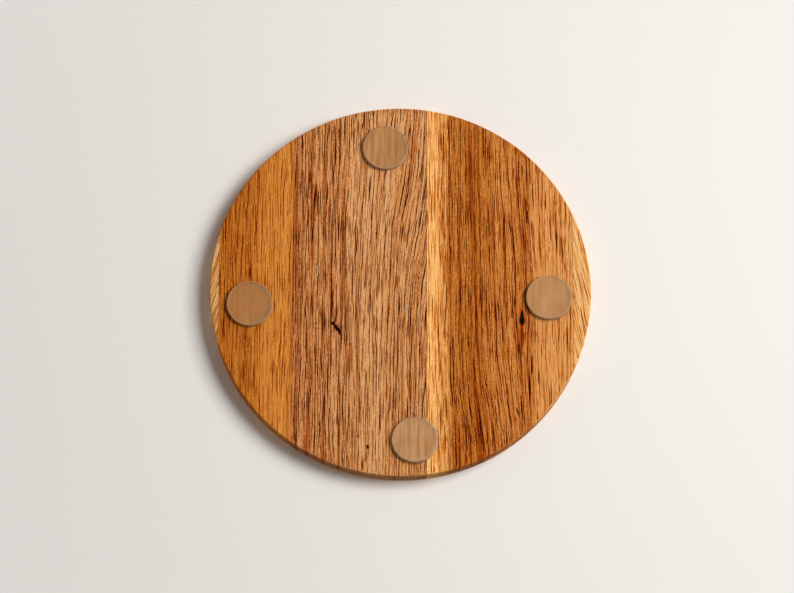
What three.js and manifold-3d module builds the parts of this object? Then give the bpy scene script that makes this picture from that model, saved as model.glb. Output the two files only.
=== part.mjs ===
// A round drink coaster: a disc cut from an edge-glued hardwood panel, on four clear stick-on feet.
// Millimetres, +Z up, as it lies in use: the feet stand on z = 0 and the drink face is on top.
// The grain runs along Y and the staves follow one another along X.
import * as THREE from "three";
import { mergeVertices } from "three/addons/utils/BufferGeometryUtils.js";
import Module from "manifold-3d";

// Board
const DISC_DIAMETER = 100;
const BOARD_THICKNESS = 6;
const DRINK_EDGE_RADIUS = 1;
const UNDERSIDE_EDGE_RADIUS = 0.4;

// Staves and the glue between them. A reach is how far an edge strip comes in from the rim.
const CENTRE_STAVE_WIDTH = 35.2;
const CENTRE_STAVE_OFFSET = 10.75;
const PALE_STRIP_REACH = 4.8;
const BROWN_STRIP_REACH = 2.5;
const GLUE_THICKNESS = 0.1;

// Feet. The pad's wall leans in towards the table by its draft.
const FOOT_DIAMETER = 12;
const PAD_THICKNESS = 1.4;
const PAD_DRAFT = 0.12;
const PAD_EDGE_RADIUS = 0.35;
const ADHESIVE_THICKNESS = 0.1;
const ADHESIVE_SETBACK = 0.2;

// Each foot was set by hand: its direction from the disc's axis, and the wood left between it and the rim.
const FEET = [
  { name: "right", degrees: -6.5, rimGap: 4.4 },
  { name: "back", degrees: 83.9, rimGap: 5.2 },
  { name: "left", degrees: 183.1, rimGap: 5.1 },
  { name: "front", degrees: 264.6, rimGap: 3.3 },
];

// Facets of the round forms
const DISC_SEGMENTS = 128;
const FOOT_SEGMENTS = 48;
const DRINK_EDGE_STEPS = 5;
const UNDERSIDE_EDGE_STEPS = 3;
const PAD_EDGE_STEPS = 4;

// Blocks that cut the board reach this far past it, and vertices closer than the weld are one.
const CUT_MARGIN = 1;
const WELD = 1e-4;

const discRadius = DISC_DIAMETER / 2;
const footRadius = FOOT_DIAMETER / 2;
const footHeight = PAD_THICKNESS + ADHESIVE_THICKNESS;

const wasm = await Module();
wasm.setup();

const WOODS = {
  pale_edge_strip: { color: 0xdba566, roughness: 0.55 },
  wide_stave: { color: 0xb9722f, roughness: 0.5 },
  centre_stave: { color: 0xaf6d36, roughness: 0.55 },
  narrow_stave: { color: 0xb3662a, roughness: 0.5 },
  brown_edge_strip: { color: 0xbb7e46, roughness: 0.55 },
};
const GLUE = new THREE.MeshStandardMaterial({ color: 0x6b3d1b, roughness: 0.6, metalness: 0 });
const CLEAR_ELASTOMER = new THREE.MeshStandardMaterial({
  color: 0xe9dcc8, roughness: 0.4, metalness: 0, transparent: true, opacity: 0.45,
});
const ADHESIVE = new THREE.MeshStandardMaterial({
  color: 0xe6d9bd, roughness: 0.3, metalness: 0, transparent: true, opacity: 0.5,
});

// Points of a quarter-round from one angle to another, about a centre in the profile's plane
function quarterRound(centreR, centreZ, radius, fromDegrees, toDegrees, steps) {
  const points = [];
  for (let i = 0; i <= steps; i++) {
    const angle = THREE.MathUtils.degToRad(THREE.MathUtils.lerp(fromDegrees, toDegrees, i / steps));
    points.push(new THREE.Vector2(centreR + radius * Math.cos(angle), centreZ + radius * Math.sin(angle)));
  }
  return points;
}

// A profile of radii and heights, turned about Z
function turned(profile, segments) {
  return new THREE.LatheGeometry(profile, segments).rotateX(Math.PI / 2);
}

function namedMesh(name, geometry, material) {
  const mesh = new THREE.Mesh(geometry, material);
  mesh.name = name;
  return mesh;
}

// A closed geometry as a solid that can be cut
function solidFrom(geometry) {
  const bare = geometry.clone();
  bare.deleteAttribute("normal");
  bare.deleteAttribute("uv");
  const welded = mergeVertices(bare, WELD);
  const corners = welded.index.array;
  const triangles = [];
  for (let i = 0; i < corners.length; i += 3) {
    const [a, b, c] = corners.slice(i, i + 3);
    if (a !== b && b !== c && c !== a) {
      triangles.push(a, b, c);
    }
  }
  const vertProperties = new Float32Array(welded.attributes.position.array);
  const triVerts = new Uint32Array(triangles);
  return new wasm.Manifold(new wasm.Mesh({ numProp: 3, vertProperties, triVerts }));
}

function geometryFrom(solid) {
  const { vertProperties, triVerts } = solid.getMesh();
  const geometry = new THREE.BufferGeometry();
  geometry.setAttribute("position", new THREE.BufferAttribute(vertProperties, 3));
  geometry.setIndex(new THREE.BufferAttribute(triVerts, 1));
  geometry.computeVertexNormals();
  return geometry;
}

// The disc's outline: flat underside with an eased edge, plumb wall, rounded edge at the drink face
function boardProfile() {
  const underside = UNDERSIDE_EDGE_RADIUS;
  const drink = DRINK_EDGE_RADIUS;
  return [
    new THREE.Vector2(0, 0),
    ...quarterRound(discRadius - underside, underside, underside, -90, 0, UNDERSIDE_EDGE_STEPS),
    ...quarterRound(discRadius - drink, BOARD_THICKNESS - drink, drink, 0, 90, DRINK_EDGE_STEPS),
    new THREE.Vector2(0, BOARD_THICKNESS),
  ];
}

// The stretch of the disc between two planes across X
function sliceOfDisc(disc, fromX, toX) {
  const block = new THREE.BoxGeometry(
    toX - fromX,
    DISC_DIAMETER + 2 * CUT_MARGIN,
    BOARD_THICKNESS + 2 * CUT_MARGIN,
  );
  block.translate((fromX + toX) / 2, 0, BOARD_THICKNESS / 2);
  return geometryFrom(disc.intersect(solidFrom(block)));
}

// The board: staves and glue lines, all cut by the one turned outline so that the rim runs through them
function makeBoard() {
  const board = new THREE.Group();
  const disc = solidFrom(turned(boardProfile(), DISC_SEGMENTS));
  const joints = [
    -discRadius + PALE_STRIP_REACH,
    CENTRE_STAVE_OFFSET - CENTRE_STAVE_WIDTH / 2,
    CENTRE_STAVE_OFFSET + CENTRE_STAVE_WIDTH / 2,
    discRadius - BROWN_STRIP_REACH,
  ];
  let start = -discRadius - CUT_MARGIN;
  Object.entries(WOODS).forEach(([name, look], i) => {
    const isLast = i === joints.length;
    const end = isLast ? discRadius + CUT_MARGIN : joints[i] - GLUE_THICKNESS / 2;
    const wood = new THREE.MeshStandardMaterial({ ...look, metalness: 0 });
    board.add(namedMesh(name, sliceOfDisc(disc, start, end), wood));
    if (!isLast) {
      start = end + GLUE_THICKNESS;
      board.add(namedMesh(`glue_line_${i + 1}`, sliceOfDisc(disc, end, start), GLUE));
    }
  });
  return board;
}

// A pad's outline: flat contact face, rounded edge, and a wall that widens to the glued face
function padProfile() {
  const contactRadius = footRadius - PAD_DRAFT;
  const edge = PAD_EDGE_RADIUS;
  return [
    new THREE.Vector2(0, 0),
    ...quarterRound(contactRadius - edge, edge, edge, -90, 0, PAD_EDGE_STEPS),
    new THREE.Vector2(footRadius, PAD_THICKNESS),
    new THREE.Vector2(0, PAD_THICKNESS),
  ];
}

function adhesiveProfile() {
  const radius = footRadius - ADHESIVE_SETBACK;
  return [
    new THREE.Vector2(0, 0),
    new THREE.Vector2(radius, 0),
    new THREE.Vector2(radius, ADHESIVE_THICKNESS),
    new THREE.Vector2(0, ADHESIVE_THICKNESS),
  ];
}

// One foot: a pad with its adhesive disc on top, at its own place under the board
function makeFoot({ name, degrees, rimGap }) {
  const foot = new THREE.Group();
  const angle = THREE.MathUtils.degToRad(degrees);
  const reach = discRadius - rimGap - footRadius;
  foot.position.set(reach * Math.cos(angle), reach * Math.sin(angle), 0);
  foot.add(namedMesh(`foot_pad_${name}`, turned(padProfile(), FOOT_SEGMENTS), CLEAR_ELASTOMER));
  const adhesive = namedMesh(`adhesive_${name}`, turned(adhesiveProfile(), FOOT_SEGMENTS), ADHESIVE);
  adhesive.position.z = PAD_THICKNESS;
  foot.add(adhesive);
  return foot;
}

const coaster = new THREE.Group();
const board = makeBoard();
board.position.z = footHeight;
coaster.add(board, ...FEET.map(makeFoot));

export default coaster;
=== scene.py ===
"""A round drink coaster: five edge-glued hardwood staves with open pores, on four clear stick-on feet."""

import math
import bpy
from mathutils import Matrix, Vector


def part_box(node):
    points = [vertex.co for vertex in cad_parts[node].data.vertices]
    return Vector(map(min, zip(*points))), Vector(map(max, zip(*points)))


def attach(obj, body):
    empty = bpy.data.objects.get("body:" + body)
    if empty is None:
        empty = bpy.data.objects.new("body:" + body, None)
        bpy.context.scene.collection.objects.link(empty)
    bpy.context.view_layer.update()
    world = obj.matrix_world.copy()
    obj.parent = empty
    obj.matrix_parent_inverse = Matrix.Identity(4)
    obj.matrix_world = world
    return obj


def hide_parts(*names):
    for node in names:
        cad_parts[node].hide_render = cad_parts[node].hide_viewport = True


bl_info = {
    "name": "Wooden drink coaster",
    "version": (1, 0, 0),
    "blender": (4, 5, 0),
    "location": "View3D > Sidebar > Coaster",
    "description": "Models an edge-glued hardwood coaster on clear feet and sets it up for a picture",
    "category": "Object",
}

from dataclasses import dataclass, field
from functools import partial

import bpy
import numpy as np
from bpy.props import FloatProperty, FloatVectorProperty, IntProperty, PointerProperty
from mathutils import Matrix, Vector

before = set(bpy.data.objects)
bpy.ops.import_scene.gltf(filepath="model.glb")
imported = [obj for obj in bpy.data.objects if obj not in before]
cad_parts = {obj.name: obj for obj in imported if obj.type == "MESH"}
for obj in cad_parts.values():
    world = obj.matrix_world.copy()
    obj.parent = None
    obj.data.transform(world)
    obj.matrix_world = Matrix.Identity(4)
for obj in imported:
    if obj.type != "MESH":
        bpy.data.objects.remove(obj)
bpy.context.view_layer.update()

MM = 0.001

# The board's own sizes in millimetres, from the frame. X runs across the staves and Y along the grain.
# The centre stave crosses the disc's middle, so it is as long as the disc.
BOARD_LOW, BOARD_HIGH = (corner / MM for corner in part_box("centre_stave"))
DISC_RADIUS = BOARD_HIGH.y
UNDERSIDE = BOARD_LOW.z
DRINK_FACE = BOARD_HIGH.z

GLUE_LINES = ("glue_line_1", "glue_line_2", "glue_line_3", "glue_line_4")

# The feet: how much paler than usual each is painted, for the wood below it and partly as painted light,
# and how much of the painted grain below shows
FEET = {"right": (-0.12, 0.8), "back": (-0.01, 1.5), "left": (0.08, 0.8), "front": (0.14, 1.4)}

# Edges with a smaller turn than this are shaded smooth
SMOOTH_ANGLE = math.radians(35)


def linear(hex_colour):
    """An sRGB hex colour as linear red, green, blue and alpha."""
    parts = [int(hex_colour[i : i + 2], 16) / 255 for i in (1, 3, 5)]
    return (*[c / 12.92 if c <= 0.04045 else ((c + 0.055) / 1.055) ** 2.4 for c in parts], 1.0)


def tone(name, description, hex_colour):
    """A colour property that shows as the given sRGB tone."""
    return FloatVectorProperty(
        name=name, description=description, subtype="COLOR", size=4, min=0, max=1,
        default=linear(hex_colour),
    )


def length(name, description, millimetres):
    """A size property in metres, given in millimetres."""
    return FloatProperty(
        name=name, description=description, unit="LENGTH", precision=5, min=0, default=millimetres * MM
    )


class CoasterSizes(bpy.types.PropertyGroup):
    """Sizes that the frame's boxes don't give"""

    drink_edge: length("Drink edge", "Radius of the rounded edge at the drink face", 1.0)
    underside_edge: length("Underside edge", "Radius of the eased edge under the board", 0.4)
    pore_depth: length("Pore depth", "Depth of the widest open pores", 0.14)
    glue_shrink: length("Glue shrinkage", "How far the cured glue lies below the wood", 0.03)
    pad_edge: length("Foot edge", "Radius of the moulded edge round a foot's contact face", 0.3)
    pad_draft: length("Foot draft", "How far a foot's wall leans in towards the table", 0.06)
    pad_dish: length("Foot dish", "How far a foot's contact face sinks in its middle", 0.04)
    # The margin is painted paler, as painted light that gathers towards the foot's edge
    pad_margin: length("Foot margin", "Width of the paler margin round a foot's contact face", 0.5)
    columns_per_mm: IntProperty(
        name="Columns per millimetre", description="Fineness of the wood's mesh across the grain",
        min=2, default=8,
    )


class CoasterTones(bpy.types.PropertyGroup):
    """Colours of the woods, of the clear pieces and of the stage"""

    narrow_deep: tone("Narrow stave, deep", "Heartwood beside the brown edge strip", "#B46018")
    narrow_warm: tone("Narrow stave, warm", "Lighter heartwood beside the centre stave", "#CB782A")
    centre_brown: tone("Centre stave, brown", "Dark growth beside the narrow stave", "#BF743B")
    centre_tan: tone("Centre stave, tan", "The centre stave's usual tone", "#C88247")
    centre_light: tone("Centre stave, light", "Its lightest growth", "#CE8B51")
    sapwood: tone("Sapwood", "Pale outer wood along the wide stave's joint", "#F6B262")
    sapwood_edge: tone("Sapwood, outer", "Sapwood where it turns to heartwood", "#DC8F42")
    heart_dark: tone("Wide stave, dark heart", "Dense heartwood beside the sapwood", "#AE5C19")
    heart_mid: tone("Wide stave, heart", "Heartwood in the middle of the stave", "#BD6D2A")
    heart_light: tone("Wide stave, light heart", "Light heartwood towards the rim", "#D18642")
    pale_strip: tone("Pale edge strip", "Straw-coloured strip", "#E4A660")
    brown_strip: tone("Brown edge strip", "Striped light brown strip", "#D69A58")
    # The pore tone also stands for painted shade in the hollows of the pores, holes and cracks
    pore: tone("Pores", "Dust and oil in the open pores", "#140703")
    glue: tone("Glue", "Cured wood glue in the joints", "#7A4A22")
    pad: tone("Feet", "Milky cast of the clear elastomer", "#D5A46C")
    # The feet's edge tone is painted paler for the light that gathers in the edge; the glow through the
    # edge is lit by the lamps
    pad_rim: tone("Feet, edge", "Paler moulded edge of the feet, where light gathers", "#FBDDBE")
    adhesive: tone("Adhesive", "Clear acrylic adhesive", "#FBF7EE")
    table: tone("Table", "Pale table and floor", "#E9E6E1")
    surround: tone("Surround", "Dim even light from all round", "#7C7B78")


@dataclass
class Lean:
    """A patch where the grain slants: its middle and reach in millimetres, and its slope."""

    x: float
    y: float
    reach_x: float
    reach_y: float
    slope: float


@dataclass
class Mark:
    """A single dark mark: its middle, half width and half length in millimetres, slope and strength."""

    x: float
    y: float
    half_width: float
    half_length: float
    slope: float = 0.0
    strength: float = 1.0


@dataclass
class Stave:
    """How one stave's wood grew. Distances are in millimetres, in the coaster's own frame."""

    node: str
    slot: str
    # The place along x, the tone and the contrast of the grain, in order along x
    tones: list
    # Open pores: how many each face has, their least and greatest half width, and their usual half length
    pores: int
    pore_half_width: tuple
    pore_half_length: float
    pore_strength: float
    seed: int
    # How strongly the fine grain lines show
    lines: float = 1.0
    # The end of x at which an edge strip runs out in the rim: -1, 1, or 0 for a stave between two joints
    tip: int = 0
    leans: list = field(default_factory=list)
    # The place across the grain, half width and strength of each dark line that runs the whole length
    growth_lines: list = field(default_factory=list)
    # Holes and cracks in the underside, dark with dust and painted shade, and stains that have no depth
    marks: list = field(default_factory=list)
    stains: list = field(default_factory=list)
    # The least and greatest x of the brown flecks, and how many each face has
    flecks: tuple = ()
    # The place of each knot, and how far it turns the grain aside along x and y
    knots: list = field(default_factory=list)
    # The least and greatest x of a band whose pores are weaker, and how weak they are
    bare: tuple = ()


STAVES = [
    Stave(
        "pale_edge_strip", "pale_edge_wood",
        [(-50, "pale_strip", 0.5), (-45, "pale_strip", 0.5)],
        pores=26, pore_half_width=(0.07, 0.12), pore_half_length=5.0, pore_strength=0.45,
        seed=11, tip=-1,
        leans=[Lean(-47, 0, 12, 60, 0.22)],
        growth_lines=[(-57 + 0.9 * n, 0.24, 0.6) for n in range(22)],
    ),
    Stave(
        "wide_stave", "wide_stave_wood",
        [(-45, "heart_light", 0.46), (-36, "heart_light", 0.46), (-33.5, "heart_mid", 0.88),
         (-24, "heart_mid", 0.88), (-21.5, "heart_dark", 0.95), (-12.9, "heart_dark", 0.95),
         (-11.9, "sapwood_edge", 0.95), (-10.2, "sapwood_edge", 0.95), (-9.2, "sapwood", 0.85),
         (-7, "sapwood", 0.8)],
        pores=90, pore_half_width=(0.1, 0.17), pore_half_length=3.4, pore_strength=0.8,
        seed=22, lines=0.6,
        leans=[Lean(-22, -32, 12, 14, 0.12), Lean(-30, 14, 9, 16, 0.05)],
        growth_lines=[(-14.0, 0.3, 0.6), (-16.8, 0.35, 0.6), (-19.8, 0.7, 0.55), (-22.8, 0.3, 0.5),
                      (-26.0, 0.3, 0.5), (-28.0, 0.35, 0.5), (-30.8, 0.5, 0.5), (-33.6, 0.3, 0.4)],
        marks=[Mark(-31.75, -8.2, 0.6, 1.4, 0.0, 1.7), Mark(-31.8, -7.2, 0.34, 2.3, 0.0, 1.4),
               Mark(-34.2, -20.2, 0.22, 3.6, -0.04), Mark(-36.0, -23.4, 0.18, 2.2, -0.03),
               Mark(-30.4, -32.6, 0.2, 1.0, 0.45), Mark(-33.6, -26.8, 0.17, 4.2, 0.0)],
        stains=[Mark(-31.75, -7.6, 0.9, 3.4, 0.0, 0.8), Mark(-31.7, -12.2, 0.42, 4.0, 0.0, 2.2)],
        flecks=(-12.2, -8.2, 40),
        knots=[(-31.9, -7.6, 2.2, 5.0)],
        bare=(-12.0, -6.0, 0.6),
    ),
    Stave(
        "centre_stave", "centre_stave_wood",
        [(-6.9, "centre_tan", 1.3), (-3, "centre_tan", 1.1), (4, "centre_light", 0.9),
         (11, "centre_light", 0.9), (15, "centre_tan", 1.15), (18.5, "centre_brown", 1.15),
         (21.5, "centre_tan", 1.15), (23.5, "centre_brown", 1.15), (28.3, "centre_brown", 1.15)],
        pores=110, pore_half_width=(0.1, 0.18), pore_half_length=3.6, pore_strength=0.9,
        seed=33,
        leans=[Lean(-2, 24, 14, 24, -0.12), Lean(-6, 6, 5, 8, -0.11)],
        growth_lines=[(27.2, 0.5, 0.6), (25.6, 0.35, 0.5), (23.6, 0.35, 0.7), (19.8, 0.5, 0.6),
                      (17.6, 0.3, 0.55), (15.1, 0.5, 0.65), (10.6, 0.3, 0.55), (5.4, 0.3, 0.4),
                      (3.3, 0.35, 0.45), (-1.2, 0.35, 0.5), (-3.5, 0.3, 0.45)],
        marks=[Mark(17.7, -9.3, 0.42, 0.6, 0.0, 1.6), Mark(17.3, -9.7, 0.42, 0.7, 1.2, 1.6),
               Mark(16.9, -10.0, 0.4, 0.6, 0.0, 1.6), Mark(16.8, -7.2, 0.17, 2.9, -0.04, 0.9),
               Mark(16.5, -10.75, 0.55, 0.45, 0.0, 1.6), Mark(16.15, -11.3, 0.36, 0.8, 0.36, 1.6),
               Mark(15.55, -11.0, 0.18, 3.4, 0.0, 1.1), Mark(19.85, -8.8, 0.17, 2.9, 0.0, 0.9),
               Mark(14.6, -13.4, 0.15, 2.4, 0.0, 0.8), Mark(8.4, -42.2, 0.35, 0.45, 0.0, 1.2),
               Mark(10.9, -39.6, 0.2, 0.3, 0.0, 0.9), Mark(13.3, -15.2, 0.22, 0.6, -0.5, 0.7)],
        stains=[Mark(13.0, -18.5, 0.6, 4.4, 0.0, 0.7), Mark(20.3, -10.0, 0.45, 9.0, 0.0, 0.9)],
    ),
    Stave(
        "narrow_stave", "narrow_stave_wood",
        [(28.4, "narrow_warm", 0.55), (36, "narrow_warm", 0.55), (40, "narrow_deep", 0.66),
         (47.5, "narrow_deep", 0.66)],
        pores=40, pore_half_width=(0.09, 0.14), pore_half_length=3.4, pore_strength=0.26,
        seed=44, lines=0.7,
        growth_lines=[(42.2, 0.3, 0.35), (39.6, 0.35, 0.4), (36.4, 0.3, 0.3), (45.2, 0.4, 0.3)],
        marks=[Mark(39.6, 4.2, 0.2, 1.8), Mark(40.5, 4.0, 0.14, 1.4, 0.0, 0.8)],
    ),
    Stave(
        "brown_edge_strip", "brown_edge_wood",
        [(47.5, "brown_strip", 0.9), (50, "brown_strip", 0.9)],
        pores=30, pore_half_width=(0.08, 0.14), pore_half_length=4.0, pore_strength=0.7,
        seed=55, tip=1,
        leans=[Lean(48, 0, 12, 60, -0.36)],
        growth_lines=[(40 + 0.8 * n, 0.26, 1.4) for n in range(23)],
    ),
]


def choose(obj):
    """Selects only this object and makes it the active one."""
    bpy.ops.object.select_all(action="DESELECT")
    obj.select_set(True)
    bpy.context.view_layer.objects.active = obj


def edit_all():
    """Goes into edit mode with the whole mesh selected."""
    bpy.ops.object.mode_set(mode="EDIT")
    bpy.ops.mesh.select_all(action="SELECT")


def points_of(obj):
    """A mesh's points as rows of x, y and z."""
    flat = np.empty(len(obj.data.vertices) * 3)
    obj.data.vertices.foreach_get("co", flat)
    return flat.reshape(-1, 3)


def put_points(obj, points):
    """Moves a mesh's points."""
    obj.data.vertices.foreach_set("co", np.ascontiguousarray(points).ravel())
    obj.data.update()


def keep_values(obj, name, values):
    """Stores one number, or one vector, for each point, for the materials to read."""
    kind, key = ("FLOAT", "value") if values.ndim == 1 else ("FLOAT_VECTOR", "vector")
    stored = obj.data.attributes.new(name, kind, "POINT")
    stored.data.foreach_set(key, np.ascontiguousarray(values, np.float32).ravel())


def finish_piece(obj, node, slot, *materials):
    """Gives a finished piece its name, materials and place on the coaster's body."""
    obj.name = node + "_shown"
    obj.data.name = obj.name
    obj.data.materials.clear()
    for material in materials:
        obj.data.materials.append(material)
    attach(obj, "root")
    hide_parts(node)


# Board

# How finely the board is cut: the parts of each coarse column, the rows along the grain in millimetres,
# and the steps round each edge
COLUMN_PARTS = 16
WOOD_ROW = 0.8
GLUE_ROW = 1.2
UNDERSIDE_STEPS = 4
DRINK_STEPS = 8

# The last row along the grain lies on the rim. The one before it keeps this far inside, in millimetres,
# or this share of the half length where the board is short.
RIM_ROW = 0.25
RIM_ROW_SHARE = 0.3

# Points this near each other merge where an edge strip runs out
WELD = 0.002 * MM

# How far a knot pushes the grain aside, as a share of the distance from its middle
KNOT_PUSH = 0.45

# Pores: the share of their width at their ends, the power by which they thin out, their greatest half
# length, the spread of their lengths, their faintest share of full strength, their stray slope, and how
# far across they may reach
END_WIDTH = 0.4
END_FADE = 0.7
LONGEST_PORE = 9
LENGTH_SPREAD = 0.5
FAINTEST_PORE = 0.35
PORE_STRAY = 0.012
PORE_SEARCH = 2.5

# A pore is left out where the grain strays across by more than this in two millimetres
STEEP_GRAIN = 0.1

# Sapwood flecks: ranges of half width, half length and strength, and the stray slope
FLECK_HALF_WIDTH = (0.16, 0.36)
FLECK_HALF_LENGTH = (1.6, 4.8)
FLECK_STRENGTH = (0.4, 1.6)
FLECK_STRAY = 0.02

# Growth lines wander by these waves: reach in millimetres, millimetres to a radian, and radians from line
# to line. They swell and thin by the last, whose reach is a share of their width.
GROWTH_WAVES = ((0.35, 17, 2.1), (0.15, 6.3, 4.7))
SWELL_WAVE = (0.35, 11, 1.3)

# Pores are carved no nearer the rim than the first, in millimetres, and fade in over the second. Towards a
# joint they fade out over the third, and fainter ones than the fourth aren't carved.
RIM_CLEARANCE = 0.6
RIM_FADE = 0.5
JOINT_FADE = 0.15
LEAST_PORE = 0.02

# A point this near the height of a face lies in it, and one this near counts as flat, in millimetres
FACE_TOLERANCE = 0.01
FLAT_DEPTH = 0.02


def rim_rows(sizes):
    """Radius and height of each row round the rim, in millimetres, from the underside to the drink face."""
    ease = sizes.underside_edge / MM
    round_over = sizes.drink_edge / MM
    rows = []
    for radius, middle, start, stop, steps in (
        (ease, UNDERSIDE + ease, -90, 0, UNDERSIDE_STEPS),
        (round_over, DRINK_FACE - round_over, 0, 90, DRINK_STEPS),
    ):
        for angle in np.radians(np.linspace(start, stop, steps + 1)):
            out = DISC_RADIUS - radius + radius * math.cos(angle)
            rows.append((out, middle + radius * math.sin(angle)))
    return np.array(rows)


def cut_block(name, columns, rows, layers):
    """A unit block: a grid raised layer by layer, then cut finer across the grain."""
    coarse = max(1, columns // COLUMN_PARTS)
    bpy.ops.object.select_all(action="DESELECT")
    bpy.ops.mesh.primitive_grid_add(x_subdivisions=coarse, y_subdivisions=rows, size=1)
    block = bpy.context.object
    block.name = name
    edit_all()
    for _ in range(layers):
        bpy.ops.mesh.extrude_region_move(TRANSFORM_OT_translate={"value": (0, 0, 1)})
    bpy.ops.mesh.select_all(action="SELECT")
    bpy.ops.mesh.normals_make_consistent(inside=False)
    bpy.ops.mesh.select_mode(type="EDGE")
    bpy.ops.mesh.select_all(action="DESELECT")
    bpy.ops.object.mode_set(mode="OBJECT")
    ends = np.empty(len(block.data.edges) * 2, np.int32)
    block.data.edges.foreach_get("vertices", ends)
    span = np.abs(np.diff(points_of(block)[ends.reshape(-1, 2)], axis=1))[:, 0]
    block.data.edges.foreach_set("select", span[:, 0] > span[:, 1:].max(1))
    if columns > coarse:
        bpy.ops.object.mode_set(mode="EDIT")
        bpy.ops.mesh.subdivide(number_cuts=COLUMN_PARTS - 1)
        bpy.ops.object.mode_set(mode="OBJECT")
    return block


def turn_to_rim(block, x_from, x_to, rows, tip=0):
    """Spreads the block from one joint to the next and pulls its ends in to the turned rim.
    A strip at the edge has its tip on the rim. Returns the points in millimetres."""
    unit = points_of(block)
    layer = np.rint(unit[:, 2]).astype(int)
    radius, height = rows[layer].T
    t = unit[:, 0] + 0.5
    if tip > 0:
        x = x_from + (radius - x_from) * np.sin(t * math.pi / 2)
    elif tip < 0:
        x = x_to - (radius + x_to) * np.sin((1 - t) * math.pi / 2)
    else:
        x = x_from + (x_to - x_from) * t
    half = np.sqrt(np.maximum(radius**2 - x**2, 0))
    along = 2 * unit[:, 1]
    on_rim = np.isclose(np.abs(along), 1)
    inner = np.abs(along)[~on_rim].max()
    hold = np.minimum(RIM_ROW, RIM_ROW_SHARE * half)
    reach = np.where(on_rim, half, np.abs(along) / inner * (half - hold))
    put_points(block, np.stack([x, np.sign(along) * reach, height], 1) * MM)
    if tip:
        edit_all()
        bpy.ops.mesh.remove_doubles(threshold=WELD)
        bpy.ops.mesh.normals_make_consistent(inside=False)
        bpy.ops.object.mode_set(mode="OBJECT")
    return points_of(block) / MM


def grain_of(points, stave):
    """Where each point lies in the grown wood: across the grain, along it and in depth."""
    x, y, z = points.T
    across = x.copy()
    for lean in stave.leans:
        side = np.exp(-(((x - lean.x) / lean.reach_x) ** 2))
        across -= lean.slope * lean.reach_y * np.tanh((y - lean.y) / lean.reach_y) * side
    for knot_x, knot_y, reach_x, reach_y in stave.knots:
        near = np.exp(-(((x - knot_x) / reach_x) ** 2) - ((y - knot_y) / reach_y) ** 2)
        across -= KNOT_PUSH * (x - knot_x) * near
    return np.stack([across, y, z], 1)


def mark_value(points, across, mark, start):
    """How strongly one pore or mark shows at each point: full along its middle, thinning to its ends.
    Across is where the points lie across the grain, and start where the mark's middle does."""
    along = points[:, 1] - mark.y
    taper = np.clip(1 - (along / mark.half_length) ** 2, 0, 1)
    half_width = mark.half_width * (END_WIDTH + (1 - END_WIDTH) * taper)
    side = (across - start - mark.slope * along) / half_width
    return mark.strength * np.exp(-(side**2)) * taper**END_FADE


def pores_of(points, grain, stave, rng):
    """Open pores over one face, from 0 to 1. They follow the grain."""
    value = np.zeros(len(points))
    low, high = points[:, 0].min(), points[:, 0].max()
    for _ in range(stave.pores):
        x = rng.uniform(low, high)
        half = math.sqrt(max(DISC_RADIUS**2 - x**2, 1))
        y = rng.uniform(-half, half)
        half_length = min(LONGEST_PORE, rng.lognormal(math.log(stave.pore_half_length), LENGTH_SPREAD))
        half_width = rng.uniform(*stave.pore_half_width)
        strength = stave.pore_strength * rng.uniform(FAINTEST_PORE, 1.0)
        pore = Mark(x, y, half_width, half_length, rng.normal(0, PORE_STRAY), strength)
        if stave.bare and stave.bare[0] < x < stave.bare[1]:
            pore.strength *= stave.bare[2]
        around = np.array([[x, y + step, 0.0] for step in (-1, 0, 1)])
        before, start, after = grain_of(around, stave)[:, 0]
        if abs(after - before) > STEEP_GRAIN:
            continue
        near = (np.abs(points[:, 1] - y) < half_length) & (np.abs(points[:, 0] - x) < PORE_SEARCH)
        found = mark_value(points[near], grain[near, 0], pore, start)
        value[near] = np.maximum(value[near], found)
    return value


def marks_of(points, marks):
    """Single marks over one face. They keep their own slope, whatever the grain does."""
    value = np.zeros(len(points))
    for mark in marks:
        value = np.maximum(value, mark_value(points, points[:, 0], mark, mark.x))
    return value


def flecks_of(stave, rng):
    """Marks for the brown flecks in a stave's sapwood, scattered along its whole length."""
    if not stave.flecks:
        return []
    x_from, x_to, count = stave.flecks
    return [
        Mark(
            rng.uniform(x_from, x_to), rng.uniform(-DISC_RADIUS, DISC_RADIUS),
            rng.uniform(*FLECK_HALF_WIDTH), rng.uniform(*FLECK_HALF_LENGTH),
            rng.normal(0, FLECK_STRAY), rng.uniform(*FLECK_STRENGTH),
        )
        for _ in range(count)
    ]


def growth_of(points, grain, stave):
    """Dark growth lines that run the stave's whole length."""
    value = np.zeros(len(points))
    y = points[:, 1]
    swing, swell_length, swell_turn = SWELL_WAVE
    for n, (across, half_width, strength) in enumerate(stave.growth_lines):
        wander = sum(reach * np.sin(y / wave + turn * n) for reach, wave, turn in GROWTH_WAVES)
        swell = 1 - swing + swing * np.sin(y / swell_length + swell_turn * n * n)
        side = (grain[:, 0] - across - wander) / (half_width * swell)
        value = np.maximum(value, strength * swell * np.exp(-(side**2)))
    return value


def carve(block, weights, depth):
    """Sinks the points into the wood by their weights."""
    choose(block)
    group = block.vertex_groups.new(name="pores")
    for index in np.flatnonzero(weights > LEAST_PORE):
        group.add([int(index)], float(min(1, weights[index])), "REPLACE")
    sink = block.modifiers.new("pores", "DISPLACE")
    sink.strength = -depth
    sink.mid_level = 0
    sink.vertex_group = group.name
    bpy.ops.object.modifier_apply(modifier=sink.name)
    block.vertex_groups.clear()


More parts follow.
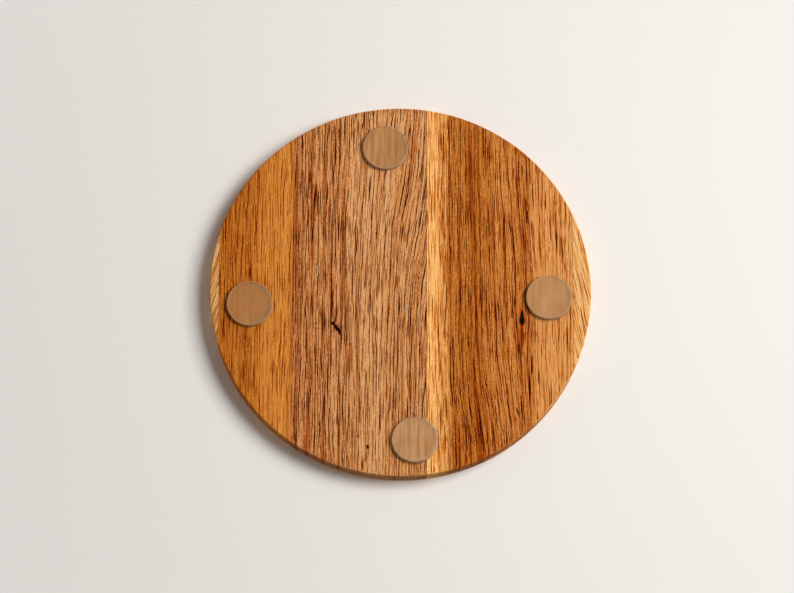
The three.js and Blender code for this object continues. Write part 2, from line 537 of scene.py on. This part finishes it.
def make_stave(stave, sizes):
    """One stave: a block between two joints, turned to the rim, with its grain, pores and marks."""
    low, high = (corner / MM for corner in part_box(stave.node))
    rows = rim_rows(sizes)
    coarse = max(1, round((high.x - low.x) * sizes.columns_per_mm / COLUMN_PARTS))
    block = cut_block(
        stave.node, coarse * COLUMN_PARTS, round((high.y - low.y) / WOOD_ROW), len(rows) - 1
    )
    points = turn_to_rim(block, low.x, high.x, rows, stave.tip)
    grain = grain_of(points, stave)
    half = np.sqrt(np.maximum(DISC_RADIUS**2 - points[:, 0] ** 2, 0))
    clear = np.clip((half - np.abs(points[:, 1]) - RIM_CLEARANCE) / RIM_FADE, 0, 1)
    joint = np.minimum(points[:, 0] - low.x, high.x - points[:, 0])
    clear *= np.clip(joint / JOINT_FADE, 0, 1)
    pores = np.zeros(len(points))
    stains = np.zeros(len(points))
    for height, seed, marked in ((UNDERSIDE, stave.seed, True), (DRINK_FACE, stave.seed + 1, False)):
        face = np.abs(points[:, 2] - height) < FACE_TOLERANCE
        rng = np.random.default_rng(seed)
        pores[face] = pores_of(points[face], grain[face], stave, rng)
        spots = flecks_of(stave, rng)
        if marked:
            pores[face] = np.maximum(pores[face], marks_of(points[face], stave.marks))
            spots += stave.stains
        stains[face] = marks_of(points[face], spots)
    depth = np.minimum(points[:, 2] - UNDERSIDE, DRINK_FACE - points[:, 2])
    keep_values(block, "grain", grain)
    keep_values(block, "pore", np.clip(pores, 0, 1))
    keep_values(block, "growth", np.maximum(growth_of(points, grain, stave), stains))
    keep_values(block, "flat", np.where(depth < FLAT_DEPTH, 1.0, 0.0))
    carve(block, pores * clear, sizes.pore_depth)
    bpy.ops.object.shade_smooth_by_angle(angle=SMOOTH_ANGLE)
    return block


# Materials

# A Mix node's sockets when it mixes colours
FACTOR, COLOUR_A, COLOUR_B, MIXED_COLOUR = 0, 6, 7, 2

# Noise is even about this value
MIDDLE = 0.5

# Uneven tones in the wood: size in millimetres across the grain, along it and in depth, detail, shift of
# the stave's seed, and weight. They are broad bands, streaks, fibres and specks. Real fibres are finer, and
# these are drawn as coarse as they need to be to show.
WOOD_NOISES = (
    ((2.6, 180, 5.0), 2, 0, 0.6),
    ((0.34, 24, 0.9), 1, 5, 0.5),
    ((0.26, 3.6, 0.3), 1, 9, 0.45),
    ((0.26, 0.7, 0.3), 1, 12, 0.95),
)

# Layers of grain lines: spacing, half width and length of fading in millimetres, shift of the stave's seed,
# and weight
LINE_LAYERS = ((1.25, 0.12, 12, 21, 4.5), (0.7, 0.09, 7, 27, 3.2))
LINE_SLANT = 0.8
GROWTH_WEIGHT = 0.7

# Each grain line has a lane as wide as the spacing. It wanders by so many lanes, with waves so many lanes
# wide and these lengths along the grain and in depth, and jitters by so much in patches of this size.
WANDER = 2.2
WANDER_WIDTH = 4
WANDER_LENGTHS = (22, 9)
JITTER = 0.22
JITTER_SIZE = (0.6, 1.5, 0.6)

# It keeps this margin in its lane, is darkest over this share of its half width, and fades between these
# levels of a noise with this depth, in which the lanes lie so far apart. On the rim it shows this much.
LANE_MARGIN = 0.15
LINE_CORE = 0.2
FADE_LEVELS = (0.41, 0.6)
FADE_DEPTH = 6
LANE_STEP = 7.3
RIM_LINES = 0.4

# Layers of small pores: shift along the grain, cell across and along it, and reach in millimetres, weight
PORE_LAYERS = (
    (0.0, (0.85, 26), 0.17, 3.2),
    (61.0, (0.5, 12), 0.18, 2.5),
    (173.0, (0.36, 6), 0.22, 1.0),
)

# They move along by so much for each step of the stave's seed, move across from one face to the other, and
# fray, in millimetres
SEED_SHIFT = 7.0
FACE_SHIFT = 137.0
PORE_FRAY = 0.15

# The least share of their full size, the share of cells without one, the softness of their edge, the dust
# and painted shade in the first two layers, and how deep the second layer is beside the first
LEAST_DROP = 0.4
EMPTY_CELLS = 0.35
DROP_EDGE = 0.3
LAYER_STAINS_AND_SHADE = (0.35, 0.1)
SECOND_LAYER_DEPTH = 0.8

# Carved pores: their weight, and the two shares of their depth between which they fill with dust and
# painted shade
PORE_WEIGHT = 1.5
DUST_AND_SHADE_DEPTHS = (0.25, 0.8)

# How far the border between two tones strays along the streaks, in millimetres
TONE_DRIFT = 5.0

# Wood darkens by a power of its colour over a pivot above white. Plain wood has the first power, and none
# has less than the second.
PIVOT = 1.3
PLAIN_POWER = 0.86
LEAST_POWER = 0.7


def add_node(tree, kind, *values, named=None, **settings):
    """Adds one node with its settings, and fills its sockets, first in order and then by name.
    A socket is linked, and so is a node, by its first output. Anything else is set as the value.
    A kind in capitals is an operation of the Math node."""
    if kind.isupper():
        settings["operation"] = kind
        kind = "Math"
    node = tree.nodes.new("ShaderNode" + kind)
    for key, value in settings.items():
        setattr(node, key, value)
    for key, value in [*enumerate(values), *(named or {}).items()]:
        if isinstance(value, bpy.types.Node):
            value = value.outputs[0]
        if isinstance(value, bpy.types.NodeSocket):
            tree.links.new(value, node.inputs[key])
        else:
            node.inputs[key].default_value = value
    return node


def new_material(name):
    """A material with no nodes yet, and the function that adds a node to it."""
    material = bpy.data.materials.new(name)
    material.use_nodes = True
    material.node_tree.nodes.clear()
    return material, partial(add_node, material.node_tree)


def weighted_sum(add, start, *terms):
    """The start and each value times its weight, added up."""
    for value, weight in terms:
        start = add("MULTIPLY_ADD", value, weight, start)
    return start


def stretched_noise(add, vector, size, detail, offset=0.0):
    """Noise whose features have about this size, in the vector's unit, along its three directions."""
    scale = [1 / one for one in size]
    place = add("Mapping", vector, [offset] * 3, named={"Scale": scale})
    return add("TexNoise", place, named={"Scale": 1.0, "Detail": detail})


def scattered_pores(add, across, along, size, reach):
    """Open pores from 0 to 1: long drops of uneven length, at most one to a cell of size millimetres."""
    place = add("CombineXYZ", add("DIVIDE", across, size[0]), add("DIVIDE", along, size[1]))
    cell = add("TexVoronoi", place, named={"Scale": 1.0}, voronoi_dimensions="2D")
    chance = add("SeparateColor", cell.outputs["Color"]).outputs
    half = add("MULTIPLY_ADD", chance[0], (1 - LEAST_DROP) * reach, LEAST_DROP * reach)
    filled = add("GREATER_THAN", chance[1], EMPTY_CELLS)
    half = add("MULTIPLY", half, filled)
    rest = add("SUBTRACT", half, cell.outputs["Distance"])
    return add("DIVIDE", rest, DROP_EDGE * reach, use_clamp=True)


def grain_lines(add, grain, spacing, reach, fade_length, offset, slant):
    """Thin lines from 0 to 1 that wander along the grain and come and go, one to each spacing across it.
    Reach is half a line's width. All are in millimetres. They cross the board's thickness at a slant."""
    part = add("SeparateXYZ", grain).outputs
    depth = add("SUBTRACT", part[2], UNDERSIDE)
    wander = stretched_noise(add, grain, (WANDER_WIDTH * spacing, *WANDER_LENGTHS), 2, offset)
    jitter = stretched_noise(add, grain, JITTER_SIZE, 1, offset)
    across = weighted_sum(add, part[0], (depth, slant), (wander, WANDER * spacing), (jitter, JITTER))
    across = add("MULTIPLY_ADD", across, 1 / spacing, offset)
    number = add("FLOOR", across)
    chance = add("TexWhiteNoise", named={"W": number}, noise_dimensions="1D")
    middle = add("MULTIPLY_ADD", chance, 1 - 2 * LANE_MARGIN, LANE_MARGIN)
    away = add("SUBTRACT", add("FRACT", across), middle)
    away = add("MULTIPLY", add("ABSOLUTE", away), spacing)
    line = add("MapRange", away, reach, LINE_CORE * reach, interpolation_type="SMOOTHSTEP")
    place = add("CombineXYZ", add("MULTIPLY", number, LANE_STEP), part[1], part[2])
    fade = stretched_noise(add, place, (1.0, fade_length, FADE_DEPTH), 2, offset)
    fade = add("MapRange", fade, *FADE_LEVELS, interpolation_type="SMOOTHSTEP")
    return add("MULTIPLY", line, fade)


def dark_lines(add, stave, grain, flat):
    """Each layer of a stave's grain lines, with its weight. They are quieter on the rim."""
    slant = LINE_SLANT if stave.seed % 2 else -LINE_SLANT
    quiet = add("MULTIPLY_ADD", flat, 1 - RIM_LINES, RIM_LINES)
    darks = []
    for spacing, half_width, fade_length, shift, weight in LINE_LAYERS:
        lines = grain_lines(add, grain, spacing, half_width, fade_length, stave.seed + shift, slant)
        lines = add("MULTIPLY", lines, quiet)
        darks.append((lines, weight * stave.lines))
    return darks


def small_pores(add, stave, grain, fibre, flat):
    """Each layer of a stave's small pores. They lie in the two flat faces, in other places on each, and
    their edges fray along the fibres."""
    part = add("SeparateXYZ", grain).outputs
    upper = add("GREATER_THAN", part[2], (UNDERSIDE + DRINK_FACE) / 2)
    fray = add("MULTIPLY", add("SUBTRACT", fibre, MIDDLE), PORE_FRAY)
    across = add("ADD", part[0], add("MULTIPLY_ADD", upper, FACE_SHIFT, fray))
    layers = []
    for shift, cell, reach, _ in PORE_LAYERS:
        along = add("ADD", part[1], SEED_SHIFT * stave.seed + shift)
        layer = scattered_pores(add, across, along, cell, reach)
        layers.append(add("MULTIPLY", layer, flat))
    return layers


def stave_tones(add, stave, tones, streak):
    """A stave's tones straight across the board, with borders that stray along the streaks. Alpha is the
    contrast of the grain."""
    drift = add("MULTIPLY", add("SUBTRACT", streak, MIDDLE), TONE_DRIFT)
    board_x = add("SeparateXYZ", add("TexCoord").outputs["Object"])
    place = add("MULTIPLY_ADD", board_x, 1 / MM, drift)
    first, last = stave.tones[0][0], stave.tones[-1][0]
    ramp = add("ValToRGB", add("MapRange", place, first, last))
    while len(ramp.color_ramp.elements) < len(stave.tones):
        ramp.color_ramp.elements.new(1.0)
    for element, (at, key, contrast) in zip(ramp.color_ramp.elements, stave.tones):
        element.position = (at - first) / (last - first)
        element.color = (*getattr(tones, key)[:3], contrast)
    return ramp


def oiled_hardwood(stave, tones):
    """Oiled acacia-like hardwood, planed and sanded: warm tones that deepen along growth lines and streaks,
    dark open pores, and hardly any gloss."""
    material, add = new_material("oiled_" + stave.slot)
    grain = add("Attribute", attribute_name="grain").outputs["Vector"]
    pore, growth, flat = (
        add("Attribute", attribute_name=name).outputs["Fac"] for name in ("pore", "growth", "flat")
    )
    noises = [
        stretched_noise(add, grain, size, detail, stave.seed + shift)
        for size, detail, shift, _ in WOOD_NOISES
    ]
    _, streak, fibre, _ = noises
    darks = dark_lines(add, stave, grain, flat)
    layers = small_pores(add, stave, grain, fibre, flat)
    ramp = stave_tones(add, stave, tones, streak)

    # Denser wood is darker and richer, by the power of its colour, and so are the pores
    uneven = [
        (add("SUBTRACT", noise, MIDDLE), weight)
        for noise, (*_, weight) in zip(noises, WOOD_NOISES)
    ]
    power = weighted_sum(add, 0.0, *uneven, *darks, (growth, GROWTH_WEIGHT))
    power = add("MULTIPLY_ADD", power, ramp.outputs["Alpha"], PLAIN_POWER)
    weights = (PORE_WEIGHT, *(weight for *_, weight in PORE_LAYERS))
    holes = [(one, weight * stave.pore_strength) for one, weight in zip((pore, *layers), weights)]
    power = weighted_sum(add, power, *holes)
    power = add("MAXIMUM", power, LEAST_POWER)
    wood = add("VectorMath", ramp, named={"Scale": 1 / PIVOT}, operation="SCALE")
    wood = add("Gamma", wood, power)
    wood = add("VectorMath", wood, named={"Scale": PIVOT}, operation="SCALE")

    # Carved pores are filled with dust and painted shade, darker the deeper they are, and the larger of the
    # small ones are stained by both
    shade = add("MapRange", pore, *DUST_AND_SHADE_DEPTHS, interpolation_type="SMOOTHSTEP")
    for layer, weight in zip(layers, LAYER_STAINS_AND_SHADE):
        stain = add("MULTIPLY", layer, weight * stave.pore_strength)
        shade = add("MAXIMUM", shade, stain)
    shown = add("Mix", named={FACTOR: shade, COLOUR_A: wood, COLOUR_B: tones.pore}, data_type="RGBA")
    height = add("SUBTRACT", fibre, add("MULTIPLY", layers[1], SECOND_LAYER_DEPTH))
    height = add("SUBTRACT", height, layers[0])
    relief = {"Strength": 0.8, "Distance": 0.1 * MM, "Height": height}
    finish = {
        "Base Color": shown.outputs[MIXED_COLOUR],
        "Roughness": weighted_sum(add, 0.4, (fibre, 0.2), (shade, 0.2)),
        "Specular IOR Level": 0.02,
        "Normal": add("Bump", named=relief),
    }
    add("OutputMaterial", add("BsdfPrincipled", named=finish))
    return material


def cured_glue(tones):
    """Cured wood glue, scraped flush: amber brown, slightly mottled and half matt."""
    material, add = new_material("cured_wood_glue")
    place = add("TexCoord").outputs["Object"]
    mottle = stretched_noise(add, place, (1.5 * MM, 4 * MM, 1.5 * MM), 3)
    power = add("ADD", mottle, MIDDLE)
    finish = {"Base Color": add("Gamma", tones.glue, power), "Roughness": 0.55}
    add("OutputMaterial", add("BsdfPrincipled", named=finish))
    return material


def frosted_elastomer(name, colour, clear, glow):
    """Frosted polyurethane elastomer: milky and softly glossy, with the blurred grain below it painted in
    and light spread inside it. Clear is how much shows through, and glow how much of the light inside comes
    out."""
    material, add = new_material(name)
    place = add("TexCoord").outputs["Object"]
    # A real foot's frost is finer. This is drawn as coarse as it needs to be to show.
    frost = stretched_noise(add, place, [0.35 * MM] * 3, 3)
    cloud = stretched_noise(add, place, [5 * MM] * 3, 2)
    below = stretched_noise(add, place, (0.9 * MM, 12 * MM, 2 * MM), 3)
    margin, shown_grain, paleness = (
        add("Attribute", attribute_name=key).outputs["Fac"]
        for key in ("margin", "shown_grain", "paleness")
    )
    # The grain below the foot is painted into its colour, as it would be seen through it
    below = add("MULTIPLY", add("SUBTRACT", below, MIDDLE), shown_grain)
    # The margin is painted paler here, as painted light that gathers towards the edge
    power = weighted_sum(add, 0.75, (cloud, 0.5), (below, 0.55), (margin, -0.15))
    # Each foot is painted paler by its own share, for the wood below it and partly as painted light
    power = add("SUBTRACT", power, paleness)
    milk = add("Gamma", colour, power)
    level = weighted_sum(add, 1.12, (below, -0.4), (frost, -0.25))
    relief = {"Strength": 0.25, "Distance": 0.02 * MM, "Height": frost}
    finish = {
        "Base Color": add("VectorMath", milk, named={"Scale": level}, operation="SCALE"),
        "Roughness": add("MULTIPLY_ADD", frost, 0.1, 0.32),
        "Transmission Weight": clear,
        "Subsurface Weight": 1.0,
        "Subsurface Radius": (1.0, 0.95, 0.9),
        "Subsurface Scale": 0.5 * MM,
        "IOR": 1.3,
        "Normal": add("Bump", named=relief),
    }
    body = add("BsdfPrincipled", named=finish)
    if glow:
        body = add("MixShader", glow, body, add("BsdfTranslucent", colour))
    if clear:
        lamp = add("LightPath").outputs["Is Shadow Ray"]
        through = add("MULTIPLY", lamp, clear)
        body = add("MixShader", through, body, add("BsdfTransparent"))
    add("OutputMaterial", body)
    return material


def clear_adhesive(tones):
    """Clear acrylic adhesive: faintly yellow, with small trapped bubbles. It wets the foot and the wood,
    so it bends no light."""
    material, add = new_material("clear_acrylic_adhesive")
    place = add("TexCoord").outputs["Object"]
    bubbles = stretched_noise(add, place, [0.8 * MM] * 3, 1)
    finish = {
        "Base Color": add("Gamma", tones.adhesive, bubbles),
        "Roughness": 0.12,
        "Transmission Weight": 0.98,
        "IOR": 1.0,
    }
    add("OutputMaterial", add("BsdfPrincipled", named=finish))
    return material


# Distances from the coaster, in metres, over which the table turns to an even tone
EVEN_FROM, EVEN_TO = 0.07, 0.3

# Counts of bounces are whole, so these lie between none and one, and between one and two
NO_BOUNCE, ONE_BOUNCE = 0.5, 1.5


def pale_table(tones, name, holds_shade):
    """A pale matt surface that shows only its front, straight or through glass, and lets the lamps through.
    Where it holds shade, light that has come through it doesn't bounce back onto it."""
    material, add = new_material(name)
    path = add("LightPath").outputs
    unbounced = add("LESS_THAN", path["Diffuse Depth"], NO_BOUNCE)
    seen = add("MAXIMUM", path["Is Glossy Ray"], path["Is Transmission Ray"])
    seen = add("MULTIPLY", seen, unbounced)
    seen = add("MAXIMUM", seen, path["Is Camera Ray"])
    if holds_shade:
        bounces = add("ADD", path["Diffuse Depth"], path["Is Shadow Ray"])
        bounced = add("GREATER_THAN", bounces, ONE_BOUNCE)
        unbent = add("LESS_THAN", path["Transmission Depth"], NO_BOUNCE)
        bounced = add("MULTIPLY", bounced, unbent)
        seen = add("MAXIMUM", seen, bounced)
    back = add("NewGeometry").outputs["Backfacing"]
    solid = add("MULTIPLY", seen, add("SUBTRACT", 1.0, back))
    place = add("TexCoord").outputs["Object"]
    away = add("VectorMath", place, operation="LENGTH").outputs["Value"]
    far = add("MapRange", away, EVEN_FROM, EVEN_TO, interpolation_type="SMOOTHSTEP")
    near_finish = add("BsdfPrincipled", named={"Base Color": tones.table, "Roughness": 0.9})
    table = add("MixShader", far, near_finish, add("Emission", tones.table))
    surface = add("MixShader", solid, add("BsdfTransparent"), table)
    add("OutputMaterial", surface)
    return material


# Operators


class COASTER_OT_staves(bpy.types.Operator):
    """Models the five hardwood staves of the board"""

    bl_idname = "coaster.staves"
    bl_label = "Staves"

    def execute(self, context):
        sizes, tones = context.scene.coaster_sizes, context.scene.coaster_tones
        for stave in STAVES:
            block = make_stave(stave, sizes)
            finish_piece(block, stave.node, stave.slot, oiled_hardwood(stave, tones))
        return {"FINISHED"}


class COASTER_OT_glue_lines(bpy.types.Operator):
    """Models the cured glue in the joints between the staves"""

    bl_idname = "coaster.glue_lines"
    bl_label = "Glue lines"

    def execute(self, context):
        sizes = context.scene.coaster_sizes
        glue = cured_glue(context.scene.coaster_tones)
        rows = rim_rows(sizes)
        shrink = sizes.glue_shrink / MM
        rows[:, 0] -= shrink
        rows[:, 1] = np.clip(rows[:, 1], UNDERSIDE + shrink, DRINK_FACE - shrink)
        for node in GLUE_LINES:
            low, high = (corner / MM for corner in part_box(node))
            block = cut_block(node, 1, round((high.y - low.y) / GLUE_ROW), len(rows) - 1)
            turn_to_rim(block, low.x, high.x, rows)
            choose(block)
            bpy.ops.object.shade_smooth_by_angle(angle=SMOOTH_ANGLE)
            finish_piece(block, node, "wood_glue", glue)
        return {"FINISHED"}


# Feet and adhesive discs: points round each, steps round their edges, and steps of the feet's dished face
# as shares of its depth, on this share of the foot's radius
DISC_POINTS = 96
PAD_EDGE_STEPS = 6
DISH_STEPS = (0.35, 0.3, 0.3)
DISH_REACH = 0.8
ADHESIVE_EDGE_STEPS = 3

# The adhesive's edge radius and its distance from the foot and the wood, as shares of its thickness
ADHESIVE_EDGE = 0.3
ADHESIVE_GAP = 0.1

# A foot's faces that lie flatter than the first belong to its contact face or its back, those steeper than
# the second to its wall, and the rest to its edge
FLAT_NORMAL, WALL_NORMAL = 0.97, 0.1

# A contact face is at least this level, and no further than this from the table
LEVEL_NORMAL = 0.99
TABLE_TOLERANCE = 0.001 * MM

# How much shows through the feet's faces, and how much of the light inside comes out of their edges
FACE_CLEAR = 0.5
EDGE_GLOW = 0.8


def add_disc(radius, height, gap):
    """A plain disc on the frame's origin, short of its full height by a gap at each end."""
    bpy.ops.object.select_all(action="DESELECT")
    bpy.ops.mesh.primitive_cylinder_add(
        vertices=DISC_POINTS, radius=radius, depth=height - 2 * gap,
        location=(0, 0, height / 2), end_fill_type="NGON",
    )
    bpy.ops.object.transform_apply(location=True, rotation=True, scale=True)
    return bpy.context.object


def pick_contact_face(pad):
    """Selects, in edit mode, a foot's largest flat face at the height of the table."""
    bpy.ops.mesh.select_all(action="DESELECT")
    bpy.ops.object.mode_set(mode="OBJECT")
    on_table = [one for one in pad.data.polygons if abs(one.center.z) < TABLE_TOLERANCE]
    level = [one for one in on_table if abs(one.normal.z) > LEVEL_NORMAL]
    max(level, key=lambda one: one.area).select = True
    bpy.ops.object.mode_set(mode="EDIT")


def model_pad(sizes):
    """One foot on the frame's origin: a drafted disc with a rounded contact edge and a dished face."""
    low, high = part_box("foot_pad_front")
    radius = (high.x - low.x) / 2
    pad = add_disc(radius, high.z - low.z, 0)
    bpy.ops.object.mode_set(mode="EDIT")
    bpy.ops.mesh.select_mode(type="FACE")
    pick_contact_face(pad)
    shrink = 1 - sizes.pad_draft / radius
    bpy.ops.transform.resize(value=(shrink, shrink, 1), center_override=(0, 0, 0))
    bpy.ops.mesh.bevel(offset=sizes.pad_edge, segments=PAD_EDGE_STEPS, affect="EDGES")
    pick_contact_face(pad)
    bpy.ops.mesh.inset(thickness=sizes.pad_margin)
    for step in DISH_STEPS:
        bpy.ops.mesh.inset(thickness=step * radius * DISH_REACH)
        bpy.ops.transform.translate(value=(0, 0, sizes.pad_dish * step))
    bpy.ops.object.mode_set(mode="OBJECT")
    away = np.hypot(*points_of(pad)[:, :2].T)
    inner = radius - sizes.pad_draft - sizes.pad_edge - sizes.pad_margin
    keep_values(pad, "margin", np.clip((away - inner) / sizes.pad_margin, 0, 1))
    choose(pad)
    bpy.ops.object.shade_smooth_by_angle(angle=SMOOTH_ANGLE)
    return pad


def copy_to(pattern, node):
    """A copy of a piece with its own mesh, moved to the node's place."""
    low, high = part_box(node)
    choose(pattern)
    bpy.ops.object.duplicate(linked=False)
    copy = bpy.context.object
    copy.location = ((low.x + high.x) / 2, (low.y + high.y) / 2, low.z)
    bpy.ops.object.transform_apply(location=True, rotation=True, scale=True)
    return copy


def drop(pattern):
    """Removes a pattern once its copies are made."""
    choose(pattern)
    bpy.ops.object.delete()


class COASTER_OT_feet(bpy.types.Operator):
    """Models one clear foot and sets a copy of it in each place"""

    bl_idname = "coaster.feet"
    bl_label = "Feet"

    def execute(self, context):
        pattern = model_pad(context.scene.coaster_sizes)
        tones = context.scene.coaster_tones
        face = frosted_elastomer("frosted_clear_polyurethane", tones.pad, FACE_CLEAR, 0.0)
        # The edge gets a paler tone, painted for the light that gathers in it
        edge = frosted_elastomer("milky_polyurethane_edge", tones.pad_rim, 0.0, EDGE_GLOW)
        wall = frosted_elastomer("frosted_polyurethane_wall", tones.pad, 0.0, 0.0)
        for name, (paleness, shown_grain) in FEET.items():
            node = "foot_pad_" + name
            pad = copy_to(pattern, node)
            keep_values(pad, "paleness", np.full(len(pad.data.vertices), paleness))
            keep_values(pad, "shown_grain", np.full(len(pad.data.vertices), shown_grain))
            finish_piece(pad, node, "clear_elastomer", face, edge, wall)
            upright = [abs(one.normal.z) for one in pad.data.polygons]
            finishes = [(one < FLAT_NORMAL) + (one < WALL_NORMAL) for one in upright]
            pad.data.polygons.foreach_set("material_index", finishes)
        drop(pattern)
        return {"FINISHED"}


class COASTER_OT_adhesive(bpy.types.Operator):
    """Models the adhesive disc that holds each foot to the wood"""

    bl_idname = "coaster.adhesive"
    bl_label = "Adhesive discs"

    def execute(self, context):
        low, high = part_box("adhesive_front")
        height = high.z - low.z
        pattern = add_disc((high.x - low.x) / 2, height, ADHESIVE_GAP * height)
        edit_all()
        bpy.ops.mesh.bevel(offset=ADHESIVE_EDGE * height, segments=ADHESIVE_EDGE_STEPS, affect="EDGES")
        bpy.ops.object.mode_set(mode="OBJECT")
        bpy.ops.object.shade_smooth_by_angle(angle=SMOOTH_ANGLE)
        adhesive = clear_adhesive(context.scene.coaster_tones)
        for name in FEET:
            node = "adhesive_" + name
            finish_piece(copy_to(pattern, node), node, "acrylic_adhesive", adhesive)
        drop(pattern)
        return {"FINISHED"}


# Stage: the photograph shows the underside of a coaster that lies on its drink face, so the camera is below

# The camera: pixels for the picture and the focal length, millimetres for the sensor, the distance and the
# point on the underside that it looks at, and degrees
PICTURE_WIDTH = 794
FOCAL_PIXELS = 3050
SENSOR = 36
CAMERA_DISTANCE = 797.9
CAMERA_ELEVATION = 74.47
CAMERA_TURN = 4.115
CAMERA_ROLL = -0.185
AIM = (0.93, -1.99)

# The table's width in metres, and its distance from the drink face in millimetres
TABLE_WIDTH = 12
TABLE_GAP = 0.02

# The lamps: the direction in which each stands, its distance and size in metres, and its power in watts
LAMPS = {
    "key_below": ((-0.59, 0.13, -0.80), 0.9, 0.5, 8.8),
    "key_above": ((-0.45, 0.40, 0.80), 5.0, 2.8, 200),
    "fill_above": ((0.5, 0.4, 0.75), 5.0, 3.0, 62),
}


def add_table(name, height, facing_up, material):
    """A wide table top that shows from one side only."""
    bpy.ops.object.select_all(action="DESELECT")
    bpy.ops.mesh.primitive_plane_add(size=TABLE_WIDTH, location=(0, 0, height))
    table = bpy.context.object
    table.name = name
    bpy.ops.object.transform_apply(location=True, rotation=True, scale=True)
    if not facing_up:
        edit_all()
        bpy.ops.mesh.flip_normals()
        bpy.ops.object.mode_set(mode="OBJECT")
    table.data.materials.append(material)


def add_lamp(name, direction, distance, size, power):
    """A soft square lamp that shines on the coaster from one direction."""
    lamp = bpy.data.lights.new(name, "AREA")
    lamp.shape = "SQUARE"
    lamp.size = size
    lamp.energy = power
    holder = bpy.data.objects.new(name, lamp)
    bpy.context.scene.collection.objects.link(holder)
    towards = Vector(direction).normalized()
    holder.location = towards * distance
    holder.rotation_mode = "QUATERNION"
    holder.rotation_quaternion = towards.to_track_quat("Z", "Y")
    holder.visible_camera = False


def add_camera():
    """A long-lens camera below the coaster, with the grain upright in the picture."""
    lens = bpy.data.cameras.new("camera")
    lens.sensor_width = SENSOR
    lens.lens = SENSOR * FOCAL_PIXELS / PICTURE_WIDTH
    camera = bpy.data.objects.new("camera", lens)
    bpy.context.scene.collection.objects.link(camera)
    elevation, turn, roll = (math.radians(a) for a in (CAMERA_ELEVATION, CAMERA_TURN, CAMERA_ROLL))
    level = math.cos(elevation)
    back = Vector((level * math.sin(turn), -level * math.cos(turn), -math.sin(elevation)))
    right = (-back).cross(Vector((-math.sin(roll), math.cos(roll), 0))).normalized()
    up = right.cross(-back)
    turned = Matrix((right, up, back)).transposed().to_4x4()
    turned.translation = (Vector((*AIM, UNDERSIDE)) + back * CAMERA_DISTANCE) * MM
    camera.matrix_world = turned
    bpy.context.scene.camera = camera


def light_world(tones):
    """An even surround: dim for the light it gives, the table's own tone where the camera sees it."""
    world = bpy.data.worlds.new("pale_surround")
    world.use_nodes = True
    world.node_tree.nodes.clear()
    add = partial(add_node, world.node_tree)
    seen = add("LightPath").outputs["Is Camera Ray"]
    tints = {FACTOR: seen, COLOUR_A: tones.surround, COLOUR_B: tones.table}
    colour = add("Mix", named=tints, data_type="RGBA")
    add("OutputWorld", add("Background", colour.outputs[MIXED_COLOUR]))
    bpy.context.scene.world = world


class COASTER_OT_stage(bpy.types.Operator):
    """Sets up the pale table, the soft lamps and the camera"""

    bl_idname = "coaster.stage"
    bl_label = "Stage"

    def execute(self, context):
        tones = context.scene.coaster_tones
        add_table("floor", 0.0, True, pale_table(tones, "pale_floor", True))
        top = pale_table(tones, "pale_table_top", False)
        add_table("table_top", (DRINK_FACE + TABLE_GAP) * MM, False, top)
        for name, lamp in LAMPS.items():
            add_lamp(name, *lamp)
        light_world(tones)
        add_camera()
        context.scene.view_settings.view_transform = "Standard"
        return {"FINISHED"}


class COASTER_PT_panel(bpy.types.Panel):
    """Lists the coaster's sizes, tones and pieces"""

    bl_idname = "COASTER_PT_panel"
    bl_label = "Coaster"
    bl_space_type = "VIEW_3D"
    bl_region_type = "UI"
    bl_category = "Coaster"

    def draw(self, context):
        for group in (context.scene.coaster_sizes, context.scene.coaster_tones):
            for key in group.__annotations__:
                self.layout.prop(group, key)
        for operator in OPERATORS:
            self.layout.operator(operator.bl_idname)


OPERATORS = (
    COASTER_OT_staves,
    COASTER_OT_glue_lines,
    COASTER_OT_adhesive,
    COASTER_OT_feet,
    COASTER_OT_stage,
)
CLASSES = (CoasterSizes, CoasterTones, *OPERATORS, COASTER_PT_panel)


def register():
    for cls in CLASSES:
        bpy.utils.register_class(cls)
    bpy.types.Scene.coaster_sizes = PointerProperty(type=CoasterSizes)
    bpy.types.Scene.coaster_tones = PointerProperty(type=CoasterTones)


def unregister():
    del bpy.types.Scene.coaster_tones
    del bpy.types.Scene.coaster_sizes
    for cls in reversed(CLASSES):
        bpy.utils.unregister_class(cls)


def main():
    register()
    bpy.ops.coaster.staves()
    bpy.ops.coaster.glue_lines()
    bpy.ops.coaster.adhesive()
    bpy.ops.coaster.feet()
    bpy.ops.coaster.stage()


if __name__ == "__main__":
    main()
